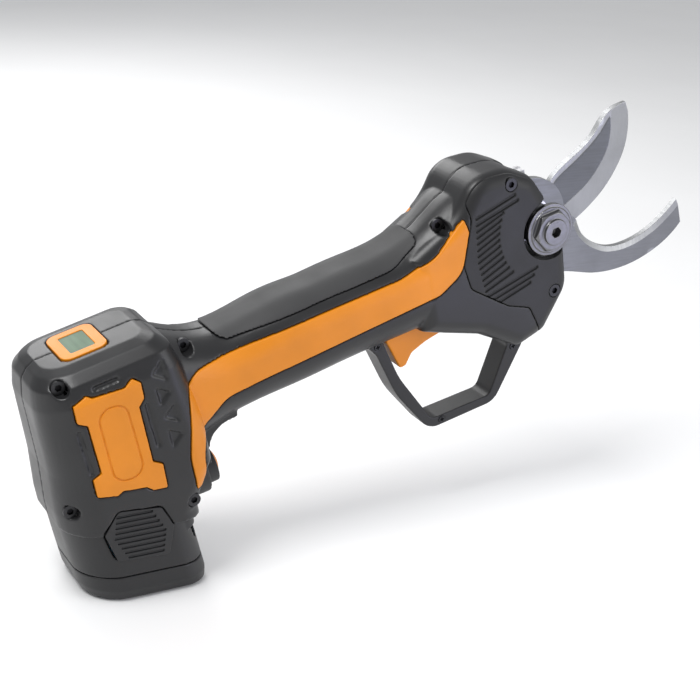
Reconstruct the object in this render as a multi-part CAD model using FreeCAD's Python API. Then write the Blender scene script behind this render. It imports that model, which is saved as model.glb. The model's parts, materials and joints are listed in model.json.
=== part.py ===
import FreeCAD, Part
import math
import os
from FreeCAD import Vector

# Battery electric pruner, in millimetres, +Z up, +X towards the blades, -Y the right-hand side.
# Every piece is drawn with the handle level. stand() then tips the whole tool so that the
# battery's foot is level, with its middle at the origin, and the handle rises to the head.

# ---------------------------------------------------------------- driving dimensions
WALL = 2.0                # housing wall
HEAD_HALF = 16.5          # half the head's thickness
PIVOT_X = 184.0           # blade pivot
PIVOT_Z = 68.5
TILT = 2.4                # the motor's axis drops this many degrees towards the battery
STAND = 16.0              # the handle rises this many degrees when the foot is level
FOOT_Z = -0.2             # height of the foot's middle while the handle is level
SKIRT = 28.0              # height of the block's lower edge above the foot
FIT = 0.3                 # gap round an inlaid panel
PANEL = 1.6               # thickness of an inlaid panel
PROUD = 0.25              # how far an inlaid panel stands out

# battery block: height, rear end, front end, half width, rear corner radius, front corner radius
BLOCK_SECTIONS = [
    (8.0, -21.4, 26.0, 22.2, 14.0, 8.0),
    (26.0, -21.6, 26.2, 22.6, 14.0, 8.0),
    (33.0, -21.4, 30.0, 22.9, 14.0, 8.0),
    (41.0, -20.9, 35.2, 23.3, 14.0, 8.0),
    (56.0, -18.7, 35.5, 23.3, 14.0, 8.0),
    (81.0, -17.0, 33.2, 22.3, 14.0, 7.0),
    (87.5, -15.4, 32.0, 20.6, 13.0, 7.0),
    (90.6, -12.6, 29.0, 16.8, 10.5, 6.0),
    (92.0, -9.5, 25.5, 12.4, 7.5, 5.0),
]
BLOCK_SHOULDER = 81.0     # above this the block's top is rounded off
BLOCK_TOP = BLOCK_SECTIONS[-1][0]
# handle: station along X, lowest and highest point, half width
HANDLE_SECTIONS = [
    (20.0, 42.0, 91.0, 18.5),
    (36.0, 44.5, 83.8, 17.6),
    (48.0, 46.6, 79.0, 16.6),
    (64.0, 47.2, 79.2, 16.2),
    (90.0, 47.5, 80.0, 16.4),
    (115.0, 47.5, 80.3, 16.4),
    (131.0, 47.3, 82.6, 16.4),
    (142.0, 47.5, 88.0, 16.0),
    (152.0, 48.5, 92.0, 15.6),
]
HANDLE_ROUND = 0.78       # corner radius of a handle section, as a share of its half width
# head outline in the XZ plane: x, z, corner radius
HEAD_OUTLINE = [
    (126.0, 48.0, 0.0),
    (135.0, 43.5, 12.0),
    (149.0, 37.0, 10.0),
    (164.5, 25.0, 4.0),
    (177.0, 27.5, 6.0),
    (190.0, 42.0, 12.0),
    (191.2, 60.0, 20.0),
    (187.5, 76.5, 14.0),
    (181.2, 90.4, 10.0),
    (171.0, 97.2, 14.0),
    (156.5, 98.8, 12.0),
    (146.0, 86.0, 26.0),
    (126.0, 78.0, 0.0),
]
HEAD_EDGE = 6.0           # rounding of the head's long edges
FRONT_SLOT_HALF = 5.6     # the blades leave the head through this slot
GEAR_SPACE_HALF = 12.6    # half the width of the space between the side covers

# side covers of the head, in the XZ plane
COVER_OUTLINE = [
    (151.0, 110.0, 0.0),
    (151.5, 84.5, 3.0),
    (145.6, 68.5, 4.0),
    (147.2, 58.5, 4.0),
    (161.5, 45.5, 4.0),
    (170.5, 41.0, 3.0),
    (176.5, 20.0, 0.0),
    (205.0, 20.0, 0.0),
    (205.0, 110.0, 0.0),
]
COVER_DEPTH = 2.6
COVER_SCREWS = [(170.2, 92.0), (182.5, 43.2)]
GROOVE_COUNT = 16
NOTCH_R = 11.6            # clearance round the pivot nut

# inlaid panels in the XZ plane
SIDE_PANEL = [
    (26.0, 33.5, 0.0),
    (26.3, 46.0, 22.0),
    (33.6, 73.0, 9.0),
    (121.0, 73.0, 24.0),
    (135.0, 76.4, 14.0),
    (148.8, 86.0, 0.0),
    (149.8, 81.0, 0.0),
    (144.6, 66.6, 10.0),
    (134.0, 61.6, 8.0),
    (46.0, 58.8, 9.0),
    (35.4, 52.0, 10.0),
    (31.2, 44.0, 12.0),
    (30.4, 32.5, 0.0),
]
BADGE = [
    (-1.4, 83.6, 0.5), (-6.4, 81.8, 0.5), (-6.8, 75.8, 0.5), (-3.8, 73.9, 0.5), (-4.3, 55.6, 0.5),
    (-7.6, 54.4, 0.5), (-8.0, 47.7, 0.5), (-1.4, 45.2, 0.5), (0.7, 46.1, 0.5), (8.8, 43.6, 0.5),
    (10.8, 41.4, 0.5), (15.7, 40.1, 0.5), (16.3, 49.3, 0.5), (13.2, 51.7, 0.5), (14.1, 72.8, 0.5),
    (16.6, 75.2, 0.5), (17.0, 80.8, 0.5), (14.7, 83.0, 0.5), (11.4, 81.1, 0.5), (0.3, 82.1, 0.5),
]
# row of triangles between the badge plate and the side panel, from the top down; every second
# one has its base on the front side
TRUSS_LEFT = 21.2
TRUSS_RIGHT = 26.2
TRUSS_TOP = 85.2
TRUSS_PITCH = 8.1
TRUSS_BASE = 7.6
TRUSS_COUNT = 4
# grooves before and behind the plate's waist, and the slot above it
WAIST_GROOVES = [-7.3, 16.9]
GROOVE_WIDE = 1.8
GROOVE_LOW = 56.0
GROOVE_HIGH = 73.0
SLOT_X = (1.5, 10.8)
SLOT_Z = (83.8, 85.6)
POCKET_DEPTH = 0.9
BADGE_GROOVE = [(-0.6, 50.6, 4.4), (9.4, 48.6, 4.4), (9.9, 76.4, 4.4), (0.4, 76.8, 4.4)]
GRIP_INSERT = [
    (46.5, 96.0, 0.0),
    (50.0, 76.6, 6.0),
    (119.0, 76.9, 20.0),
    (134.5, 82.5, 6.0),
    (131.5, 96.0, 0.0),
]
GRIP_DEPTH = 1.9

# screws that close the housing, and where their bosses stand in the XZ plane
# x, z, where the shank ends, and how deep the head is sunk
HOUSING_SCREWS = [
    (-8.0, 87.6, 0.0, 4.0),
    (38.3, 80.1, 0.0, 4.0),
    (-17.0, 43.4, -14.8, 2.4),
    (23.8, 29.6, -19.5, 1.4),
    (141.6, 84.6, 0.0, 4.0),
]
CORNER_R = 0.3            # small rounds in the plan of the sunk shapes
SCREW_R = 1.4
SCREW_HEAD_R = 2.4
SCREW_HEAD = 1.2
SCREW_REACH = 6.0         # how far a long screw goes past the middle plane
BOSS_R = 2.9
HOOK_SCREWS = [(170.5, 53.0), (170.0, 84.0)]
HOOK_SCREW_R = 2.0

# trigger guard
GUARD_HALF = 5.0
GUARD_OUTER = [
    (105.0, 49.5, 0.0),
    (109.8, 42.0, 6.0),
    (114.6, 22.5, 40.0),
    (125.4, 1.8, 8.0),
    (155.6, 0.9, 8.0),
    (172.6, 21.0, 20.0),
    (176.0, 29.0, 0.0),
    (164.5, 33.0, 0.0),
    (117.0, 52.0, 0.0),
]
GUARD_INNER = [
    (113.4, 50.0, 0.0),
    (113.4, 46.0, 20.0),
    (117.2, 29.0, 40.0),
    (127.4, 5.8, 4.0),
    (153.8, 4.4, 4.0),
    (165.4, 22.6, 2.0),
    (150.0, 42.0, 0.0),
    (134.0, 50.0, 0.0),
]
GUARD_SCREWS = [(110.9, 45.2), (131.6, 3.7), (167.6, 20.6)]

# trigger
TRIGGER_HALF = 4.6
TRIGGER_OUTLINE = [
    (114.9, 50.2, 1.0),
    (114.9, 45.6, 6.0),
    (118.6, 32.2, 1.2),
    (121.2, 32.6, 1.0),
    (124.6, 36.6, 3.0),
    (131.0, 38.6, 14.0),
    (145.2, 40.6, 3.0),
    (147.0, 47.0, 3.0),
    (144.0, 53.0, 3.0),
    (126.0, 51.4, 4.0),
]
TRIGGER_SLOT = (113.4, 148.4, 5.2)
PIN_HALF = 10.5
TRIGGER_PIN = (140.5, 48.6)
PIN_R = 1.5
MAGNET = (124.5, 48.2)

# blades, measured from the pivot: x, z, corner radius
HOOK_THICK = 3.0
BLADE_THICK = 2.6
BLADE_GAP = 0.05
LOBE_R = 16.0
PIVOT_R = 4.0
BUSH_R = 5.5
RUNNING = 0.05
HOOK_INNER = [(14.0, -4.0), (21.5, -10.5), (22.6, -14.6), (27.0, -20.5), (34.0, -25.5), (44.0, -27.4), (55.0, -25.8), (64.0, -22.0), (69.6, -18.6)]
HOOK_OUTER = [(70.0, -28.6), (64.0, -32.4), (54.5, -35.6), (44.5, -36.8), (34.5, -36.0), (25.0, -33.4), (17.0, -29.6), (8.0, -26.0)]
BLADE_SPINE = [(6.0, 9.0), (9.5, 3.2), (11.5, 7.6), (15.5, 11.6), (26.5, 16.4), (35.5, 21.4), (42.5, 27.4), (47.0, 28.6), (51.6, 28.8)]
BLADE_EDGE = [(52.8, 24.0), (52.2, 18.6), (49.6, 10.6), (44.4, 3.2), (37.0, -3.4), (30.5, -7.2), (22.0, -10.6), (10.0, -12.0)]

# the gear frame's two cheeks in the XZ plane, and the controller board's upper face
NEAR_CHEEK = [
    (146.0, 60.0, 0.0), (150.0, 48.0, 3.0), (166.0, 44.0, 4.0), (178.0, 45.0, 2.0), (178.0, 86.0, 2.0),
    (166.0, 90.0, 4.0), (152.0, 82.0, 4.0), (146.0, 73.0, 0.0),
]
FAR_CHEEK = [
    (148.0, 60.0, 2.0), (170.0, 54.0, 4.0), (188.0, 58.6, 8.0), (193.5, 68.0, 6.0), (192.3, 83.5, 2.0),
    (185.4, 83.5, 1.0), (184.6, 78.6, 1.0), (179.0, 76.0, 2.0), (170.0, 78.0, 6.0), (148.0, 74.0, 2.0),
]
BOARD_TOP = 59.6

# pivot nut
FLANGE_R = 10.0
FLANGE_FACE = 16.6        # distance of the flange's outer face from the middle plane
FLANGE_THICK = 2.0
HEX_FLAT = 14.0

# drive train, measured from the pivot back along the motor's axis
GEAR_R = 24.0
PINION_R = 6.0
PINION_TEETH = 12
SECTOR_TEETH = 48
TOOTH_FACE = 6.0
SHAFT_R = 3.0
FINE_MODULE = 0.42
SUN_TEETH = 12
PLANETS = 3
PLANET_TEETH = 18
RING_TEETH = 48
RING_NEAR = 54.0
RING_LENGTH = 12.0
MOTOR_NEAR = 74.0
MOTOR_LENGTH = 36.0
MOTOR_R = 11.2

BEARINGS = [(31.5, 4.0), (45.0, 4.0)]
BEARING_R = 6.5
SECTOR_LOW = 2.6
SECTOR_HIGH = 11.0
SECTOR_FROM = 176.0
SECTOR_TO = 244.0
SECTOR_HUB_R = 7.6
SECTOR_SCREW_R = 1.5

# battery: height above the foot, rear end, front end, half width, rear and front corner radius
FOOT_CUT = 0.3            # the battery is drawn this far past its foot and cut level there
BATTERY_SECTIONS = [
    (-FOOT_CUT, -19.2, 22.4, 18.6, 12.0, 8.0),
    (1.2, -20.6, 23.8, 20.4, 14.0, 9.5),
    (4.5, -21.3, 24.6, 21.4, 15.0, 10.5),
    (27.6, -20.9, 24.4, 21.4, 15.0, 10.5),
]
BATTERY_WALL = 1.2
BASE_TOP = 10.3
BASE_GAP = 0.3
NECK = (-15.2, 23.6, 19.6, 10.0, 5.0)
NECK_WALL = 1.3
NECK_CLEAR = 0.35         # space between the neck and the inside of the block
NECK_LOW = 18.0
NECK_TOP = 77.6
CELL_R = 8.95
CELL_LENGTH = 65.0
CELL_PITCH = 18.2
CELL_FLOOR = 9.0
CELL_MID_X = 4.2
CELL_TOP = CELL_FLOOR + CELL_LENGTH
TERMINAL_X = 4.0
TERMINAL_YS = (-9.0, -3.0, 3.0, 9.0)
LATCH_OUTLINE = [
    (-9.5, 32.3, 1.0), (-2.9, 38.8, 2.0), (11.7, 33.4, 2.0),
    (14.2, 24.4, 1.0), (10.1, 14.4, 1.5), (-7.9, 20.7, 1.5),
]
LATCH_FACE = 22.9
LATCH_THICK = 1.8
LATCH_TRAVEL = 1.0
LATCH_RIBS = 9

# display and power button
BEZEL_X = 5.8
BEZEL_HALF_X = 8.2
BEZEL_HALF_Y = 10.0
WINDOW_HALF_X = 4.4
WINDOW_HALF_Y = 6.6
BUTTON_Z = 27.2
BUTTON_X = 36.0
BUTTON_R = 5.0
BUTTON_DOME = 9.0
COLLAR_R = 7.2
CHIN_R = 9.4


def vec(x, y, z):
    return Vector(x, y, z)


# ---------------------------------------------------------------- outlines
def corner(before, at, after, radius):
    """Where a corner's arc starts, its middle, and where it ends, in the plane of the outline."""
    ax, az = before[0] - at[0], before[1] - at[1]
    bx, bz = after[0] - at[0], after[1] - at[1]
    la, lb = math.hypot(ax, az), math.hypot(bx, bz)
    ax, az, bx, bz = ax / la, az / la, bx / lb, bz / lb
    half = math.acos(max(-1.0, min(1.0, ax * bx + az * bz))) / 2
    run = radius / math.tan(half)
    mx, mz = ax + bx, az + bz
    lm = math.hypot(mx, mz)
    out = radius / math.sin(half) - radius
    start = (at[0] + ax * run, at[1] + az * run)
    middle = (at[0] + mx / lm * out, at[1] + mz / lm * out)
    end = (at[0] + bx * run, at[1] + bz * run)
    return start, middle, end


def outline_wire(points, place):
    """A closed wire of straight runs with rounded corners. place turns (u, v) into a vector."""
    edges = []
    count = len(points)
    first = None
    last = None
    for i, (u, v, radius) in enumerate(points):
        start = middle = end = (u, v)
        if radius > 0:
            start, middle, end = corner(points[i - 1], (u, v), points[(i + 1) % count], radius)
        if last is not None and math.dist(last, start) > 1e-4:
            edges.append(Part.LineSegment(place(*last), place(*start)).toShape())
        if radius > 0:
            edges.append(Part.Arc(place(*start), place(*middle), place(*end)).toShape())
        if first is None:
            first = start
        last = end
    if math.dist(last, first) > 1e-4:
        edges.append(Part.LineSegment(place(*last), place(*first)).toShape())
    return Part.Wire(edges)


def side_face(points, y):
    """An outline in the XZ plane as a flat face at y."""
    return Part.Face(outline_wire(points, lambda u, v: vec(u, y, v)))


def side_slab(points, low_y, high_y, grow=0.0):
    """An outline in the XZ plane, grown all round, extruded from low_y to high_y."""
    face = side_face(points, low_y)
    if grow:
        face = face.makeOffset2D(grow, join=2)
    return face.extrude(vec(0, high_y - low_y, 0))


def curve_edge(points, y):
    """A smooth edge through points in the XZ plane."""
    curve = Part.BSplineCurve()
    curve.interpolate([vec(u, y, v) for u, v in points])
    return curve.toShape()


def curved_slab(runs, low_y, high_y):
    """A slab whose outline is smooth curves and straight runs, each starting where the last ended."""
    edges = []
    for run in runs:
        if len(run) == 2:
            edges.append(Part.LineSegment(vec(run[0][0], low_y, run[0][1]), vec(run[1][0], low_y, run[1][1])).toShape())
        else:
            edges.append(curve_edge(run, low_y))
    return Part.Face(Part.Wire(edges)).extrude(vec(0, high_y - low_y, 0))


def cylinder_y(x, z, radius, low_y, high_y):
    return Part.makeCylinder(radius, high_y - low_y, vec(x, low_y, z), vec(0, 1, 0))


def cylinder_x(x, radius, length):
    """A cylinder along X in the middle plane, at the power button's height."""
    return Part.makeCylinder(radius, length, vec(x, 0, BUTTON_Z), vec(1, 0, 0))


def hexagon_y(x, z, across_flats, low_y, high_y):
    radius = across_flats / math.sqrt(3)
    points = []
    for i in range(6):
        angle = math.radians(60 * i)
        points.append((x + radius * math.cos(angle), z + radius * math.sin(angle), 0.0))
    return side_slab(points, low_y, high_y)


def box(low, high):
    size = [b - a for a, b in zip(low, high)]
    return Part.makeBox(size[0], size[1], size[2], vec(*low))


def fuse(shapes):
    whole = shapes[0]
    if len(shapes) > 1:
        whole = whole.multiFuse(shapes[1:])
    return whole.removeSplitter()


def cut(shape, tools):
    return shape.cut(Part.makeCompound(tools))


def mirrored(shape):
    """The same piece on the left-hand side."""
    return shape.mirror(vec(0, 0, 0), vec(0, 1, 0))


def largest(shape):
    return max(shape.Solids, key=lambda s: s.Volume)


# ---------------------------------------------------------------- outer form
def plan_wire(z, rear, front, half, rear_r, front_r):
    """One level of the block or battery: a rectangle with wide rear corners."""
    points = [
        (rear, -half, rear_r),
        (front, -half, front_r),
        (front, half, front_r),
        (rear, half, rear_r),
    ]
    return outline_wire(points, lambda u, v: vec(u, v, z))


def block_form(inset=0.0):
    """The battery block, drawn in by inset all round, run down past its sloping lower edge."""
    wires = []
    for z, rear, front, half, rear_r, front_r in BLOCK_SECTIONS:
        height = z - inset * max(0.0, z - BLOCK_SHOULDER) / (BLOCK_TOP - BLOCK_SHOULDER)
        wires.append(plan_wire(
            height, rear + inset, front - inset, half - inset, rear_r - inset, front_r - inset))
    return Part.makeLoft(wires, True, True)


def handle_wire(x, low, high, half_w):
    radius = half_w * HANDLE_ROUND
    points = [
        (-half_w, low, radius),
        (half_w, low, radius),
        (half_w, high, radius),
        (-half_w, high, radius),
    ]
    return outline_wire(points, lambda u, v: vec(x, u, v))


def handle_form(inset=0.0):
    wires = [handle_wire(x, low + inset, high - inset, w - inset) for x, low, high, w in HANDLE_SECTIONS]
    return Part.makeLoft(wires, True, False)


def head_form(inset=0.0):
    half = HEAD_HALF - inset
    face = side_face(HEAD_OUTLINE, -half)
    if inset:
        face = face.makeOffset2D(-inset, join=2)
    slab = face.extrude(vec(0, 2 * half, 0))
    edges = [e for e in slab.Edges if abs(abs(e.CenterOfMass.y) - half) < 0.01]
    return slab.makeFillet(HEAD_EDGE - inset * 0.6, edges)


def neck_web(inset=0.0):
    """The curved web under the handle where it meets the block."""
    half = 12.0 - inset
    points = [
        (30.0, 34.0, 0.0),
        (36.4 - inset, 34.0, 0.0),
        (37.0 - inset, 47.0 + inset, 10.0),
        (50.0, 47.2 + inset, 0.0),
        (50.0, 56.0, 0.0),
        (30.0, 56.0, 0.0),
    ]
    return side_slab(points, -half, half)


def stand(shape):
    """Tips a piece drawn with the handle level so that the battery's foot lies level at the origin."""
    placed = shape.copy()
    placed.translate(vec(0, 0, -FOOT_Z))
    placed.rotate(vec(0, 0, 0), vec(0, 1, 0), -STAND)
    return placed


def level(shape):
    """The way back: from standing on the foot to the handle level."""
    placed = shape.copy()
    placed.rotate(vec(0, 0, 0), vec(0, 1, 0), STAND)
    placed.translate(vec(0, 0, FOOT_Z))
    return placed


def foot_slab(low, high, front=80.0):
    """The space between two heights above the foot."""
    return level(box((-80, -80, low), (front, 80, high)))


FORMS = {}


def chin(inset=0.0):
    """The round nose on the block's front that carries the power button."""
    nose = cylinder_x(20.0, CHIN_R - inset, BUTTON_X - 0.6 - inset - 20.0)
    rise = box((20.0, -CHIN_R + inset, BUTTON_Z), (BUTTON_X - 0.6 - inset, CHIN_R - inset, 44.0))
    return nose.fuse(rise)


def outer_form(inset=0.0):
    """Block, handle and head as one solid, drawn in by inset, above the block's lower edge."""
    if inset not in FORMS:
        whole = fuse([block_form(inset), handle_form(inset), head_form(inset), neck_web(inset), chin(inset)])
        FORMS[inset] = whole.cut(foot_slab(-60, SKIRT))
    return FORMS[inset]


def skin(outside, inside):
    return outer_form(outside).cut(outer_form(inside))


# ---------------------------------------------------------------- drive train placing
def drive(shape):
    """Turns a shape made along -X from the pivot so that it lies along the motor's axis."""
    placed = shape.copy()
    placed.rotate(vec(0, 0, 0), vec(0, 1, 0), -TILT)
    placed.translate(vec(PIVOT_X, 0, PIVOT_Z))
    return placed


def rod(near, length, radius):
    """A cylinder on the motor's axis, from near to near + length behind the pivot."""
    return Part.makeCylinder(radius, length, vec(-near - length, 0, 0), vec(1, 0, 0))


def tube(near, length, outer, inner):
    return rod(near, length, outer).cut(rod(near - 1, length + 2, inner))


def toothed_wire(x, teeth, module, scale=1.0, turn=0.0, inside=False):
    """The outline of a spur gear with straight-sided teeth, in the plane at x."""
    pitch = module * teeth / 2
    add, ded = 0.85 * module, 1.1 * module
    tip, root = pitch + add, pitch - ded
    tip_half, root_half = 0.09, 0.30
    if inside:
        tip, root = pitch - add, pitch + ded
    points = []
    step = 2 * math.pi / teeth
    for i in range(teeth):
        middle = i * step + turn
        for radius, share in ((root, -root_half), (tip, -tip_half), (tip, tip_half), (root, root_half)):
            angle = middle + share * step
            points.append(vec(x, scale * radius * math.sin(angle), scale * radius * math.cos(angle)))
    return Part.makePolygon(points + [points[0]])


def spur_gear(near, length, teeth, module, bore, turn=0.0):
    wire = toothed_wire(-near - length, teeth, module, turn=turn)
    gear = Part.Face(wire).extrude(vec(length, 0, 0))
    return gear.cut(rod(near - 1, length + 2, bore))


# ---------------------------------------------------------------- housing
def screw_boss(x, z, end):
    return cylinder_y(x, z, BOSS_R, -40, end)


def pin_boss():
    """The seat of the trigger's pin in the right-hand half."""
    return cylinder_y(*TRIGGER_PIN, PIN_R + 2.0, -40, -8.2)


def housing_openings():
    """Blade slot, trigger slot, display, power button, and the recess over the belt clip."""
    slot = box((176, -FRONT_SLOT_HALF, 34), (210, FRONT_SLOT_HALF, 110))
    rear, front, half = TRIGGER_SLOT
    trigger_way = box((rear, -half, 30), (front, half, 56))
    display = rounded_plate(BEZEL_HALF_X, BEZEL_HALF_Y, 3.5, BLOCK_TOP - 1.1, BLOCK_TOP + 5, FIT)
    display_well = rounded_plate(WINDOW_HALF_X, WINDOW_HALF_Y, 0.6, BLOCK_TOP - 8, BLOCK_TOP + 5)
    button = cylinder_x(BUTTON_X - 14, COLLAR_R, 30)
    recess = side_slab([(57.5, 40, 0), (57.5, 49.4, 2.0), (98.5, 49.4, 2.0), (98.5, 40, 0)], -30, 30)
    return [slot, trigger_way, display, display_well, button, recess]


def truss_pocket(i):
    """One triangle of the row, its base on the front side when i is even."""
    top = TRUSS_TOP - i * TRUSS_PITCH
    sides = (TRUSS_RIGHT, TRUSS_LEFT) if i % 2 == 0 else (TRUSS_LEFT, TRUSS_RIGHT)
    base, tip = sides
    return [(base, top, CORNER_R), (tip, top - TRUSS_BASE / 2, CORNER_R), (base, top - TRUSS_BASE, CORNER_R)]


def rectangle(low, high):
    return [(low[0], low[1], CORNER_R), (high[0], low[1], CORNER_R),
            (high[0], high[1], CORNER_R), (low[0], high[1], CORNER_R)]


def side_pockets():
    """The triangles, the grooves and the slot, sunk into the block's flat side."""
    outlines = [truss_pocket(i) for i in range(TRUSS_COUNT)]
    for x in WAIST_GROOVES:
        outlines.append(rectangle((x - GROOVE_WIDE / 2, GROOVE_LOW), (x + GROOVE_WIDE / 2, GROOVE_HIGH)))
    outlines.append(rectangle((SLOT_X[0], SLOT_Z[0]), (SLOT_X[1], SLOT_Z[1])))
    band = skin(-1.0, POCKET_DEPTH)
    return [band.common(side_slab(outline, -40, -3)) for outline in outlines]


def inlay(outline, proud, depth):
    """A piece of the right-hand skin inside an outline, standing out by proud and sunk by depth."""
    return largest(skin(-proud, depth).common(side_slab(outline, -40, -3)))


def pocket(outline, depth):
    """The space for an inlay, cut into the right-hand half."""
    return skin(-1.0, depth).common(side_slab(outline, -40, -3, FIT))


def side_panel_right():
    """The long inlay on the handle, ending where the head's cover begins."""
    return largest(inlay(SIDE_PANEL, PROUD, PANEL).cut(side_slab(COVER_OUTLINE, -41, -2, FIT)))


def grip_pocket():
    ring = handle_form(-4.0).cut(handle_form(GRIP_DEPTH))
    return ring.common(side_slab(GRIP_INSERT, -30, 30, FIT))


def cover_space(grow=0.0):
    """The right-hand side of the head, down to the covers' depth."""
    slab = side_slab(COVER_OUTLINE, -40, -HEAD_HALF + COVER_DEPTH, grow)
    return slab.cut(cylinder_y(PIVOT_X, PIVOT_Z, NOTCH_R - grow, -41, 0))


def hollow_space():
    """The space inside the housing, less the screw bosses."""
    space = fuse([
        block_form(WALL),
        handle_form(WALL + GRIP_DEPTH / 2),
        head_form(HEAD_HALF - GEAR_SPACE_HALF),
    ])
    bosses = [screw_boss(x, z, end) for x, z, end, sunk in HOUSING_SCREWS]
    return cut(space, bosses + [pin_boss()])


def housing_right():
    shell = outer_form().cut(hollow_space())
    shell = cut(shell, housing_openings())
    shell = shell.common(box((-60, -60, -20), (260, 0, 130)))
    shell = cut(shell, [
        pocket(SIDE_PANEL, PANEL),
        pocket(BADGE, PANEL),
        grip_pocket(),
        cover_space(),
        side_slab(LATCH_OUTLINE, -40, -10, 0.4),
        cylinder_y(PIVOT_X, PIVOT_Z, NOTCH_R, -41, 1),
        cylinder_y(*TRIGGER_PIN, PIN_R, -PIN_HALF, 0),
    ] + side_pockets())
    for x, z, end, sunk in HOUSING_SCREWS:
        shell = cut(shell, [
            cylinder_y(x, z, SCREW_R, -40, 1),
            cylinder_y(x, z, SCREW_HEAD_R + 0.2, -40, surface_y(x, z) + sunk),
        ])
    for x, z in COVER_SCREWS:
        shell = cut(shell, [cylinder_y(x, z, SCREW_R, -40, -5)])
    return largest(shell)


def housing_left():
    """The mirrored half, opened at the front for the gear frame's nose."""
    nose = box((181.0, 4, 74.5), (200, 12.6, 88))
    return largest(mirrored(housing_right()).cut(nose))


SURFACE = {}


def surface_y(x, z):
    """Where a line along Y through (x, z) meets the right-hand side of the form."""
    if (x, z) not in SURFACE:
        line = Part.LineSegment(vec(x, -60, z), vec(x, 0, z)).toShape()
        inside = line.common(outer_form())
        SURFACE[(x, z)] = inside.BoundBox.YMin
    return SURFACE[(x, z)]


def head_cover_right():
    cover = head_form().common(cover_space(-0.15))
    grooves = []
    for i in range(GROOVE_COUNT):
        z = 48.5 + i * 2.45
        left = 151.5 + abs(z - 68.0) * 0.10
        right = PIVOT_X - math.sqrt(max(22.0 ** 2 - (z - PIVOT_Z) ** 2, 16.0))
        if z > PIVOT_Z + 14:
            right = 172.5 - (z - PIVOT_Z - 14) * 0.4
        if z < PIVOT_Z - 14:
            right = 177.5 + (z - PIVOT_Z + 14) * 0.8
        points = [(left, z - 1.2, 0.0), (right, z + 2.0, 0.0), (right, z + 3.2, 0.0), (left, z, 0.0)]
        grooves.append(side_slab(points, -40, -HEAD_HALF + 0.8))
    cover = cut(cover, grooves)
    for x, z in COVER_SCREWS:
        cover = cut(cover, [
            cylinder_y(x, z, SCREW_R + 0.1, -40, 0),
            cylinder_y(x, z, SCREW_HEAD_R + 0.3, -40, -HEAD_HALF + 1.5),
        ])
    return largest(cover)


def badge_plate_right():
    """A plain plate with a rounded groove round its middle."""
    plate = inlay(BADGE, PROUD, PANEL)
    ring = side_slab(BADGE_GROOVE, -40, -3, 0.6).cut(side_slab(BADGE_GROOVE, -41, -2))
    return largest(plate.cut(ring.common(skin(-1.0, 0.25))))


def grip_insert():
    skin = handle_form(-0.5).cut(handle_form(GRIP_DEPTH))
    return largest(skin.common(side_slab(GRIP_INSERT, -30, 30)))


# ---------------------------------------------------------------- guard, clip, trigger
def trigger_guard():
    loop = side_slab(GUARD_OUTER, -GUARD_HALF, GUARD_HALF)
    loop = loop.cut(side_slab(GUARD_INNER, -GUARD_HALF - 1, GUARD_HALF + 1))
    keep_out = fuse([handle_form(), head_form()])
    loop = loop.cut(keep_out)
    for x, z in GUARD_SCREWS:
        loop = loop.cut(cylinder_y(x, z, 1.3, -GUARD_HALF - 1, -GUARD_HALF + 1.4))
        loop = loop.cut(cylinder_y(x, z, 1.3, GUARD_HALF - 1.4, GUARD_HALF + 1))
    return largest(loop)


def guard_screws():
    heads = []
    for x, z in GUARD_SCREWS:
        head = cylinder_y(x, z, 1.3, -GUARD_HALF - 0.15, -GUARD_HALF + 1.4)
        cross = [
            box((x - 0.9, -GUARD_HALF - 1, z - 0.2), (x + 0.9, -GUARD_HALF + 0.5, z + 0.2)),
            box((x - 0.2, -GUARD_HALF - 1, z - 0.9), (x + 0.2, -GUARD_HALF + 0.5, z + 0.9)),
        ]
        head = cut(head, cross)
        heads += [head, mirrored(head)]
    return Part.makeCompound(heads)


def belt_clip():
    """A spring steel bar under the handle, open at its front end."""
    points = [
        (54.0, 47.0, 0.0), (54.0, 45.2, 1.2), (60.0, 44.5, 2.0), (97.0, 44.5, 0.8),
        (97.0, 46.6, 0.8), (57.0, 46.6, 0.0), (57.0, 47.0, 0.0),
    ]
    return side_slab(points, -2.2, 2.2)


def trigger():
    blade = side_slab(TRIGGER_OUTLINE, -TRIGGER_HALF, TRIGGER_HALF)
    long_edges = [e for e in blade.Edges if abs(abs(e.CenterOfMass.y) - TRIGGER_HALF) < 0.01]
    blade = blade.makeFillet(0.8, long_edges)
    return cut(blade, [
        cylinder_y(*TRIGGER_PIN, PIN_R + RUNNING, -10, 10),
        cylinder_y(*MAGNET, 1.4, 1.0, 10),
    ])


def trigger_pin():
    return cylinder_y(*TRIGGER_PIN, PIN_R, -PIN_HALF, PIN_HALF)


def trigger_spring():
    """Three turns of a torsion spring round the trigger's pin, closed as rings."""
    x, z = TRIGGER_PIN
    rings = []
    for i in range(3):
        rings.append(Part.makeTorus(2.3, 0.35, vec(x, 5.8 + i * 0.8, z), vec(0, 1, 0)))
    return Part.makeCompound(rings)


def trigger_magnet():
    return cylinder_y(*MAGNET, 1.4, 1.0, 4.2)


def sensor_board():
    board = box((116.0, 6.4, 51.8), (134.0, 7.4, 56.0))
    sensor = box((121.0, 5.6, 51.9), (125.0, 6.4, 55.0))
    return board.fuse(sensor).removeSplitter()


# ---------------------------------------------------------------- blades
def at_pivot(points):
    return [(PIVOT_X + u, PIVOT_Z + v) for u, v in points]


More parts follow.
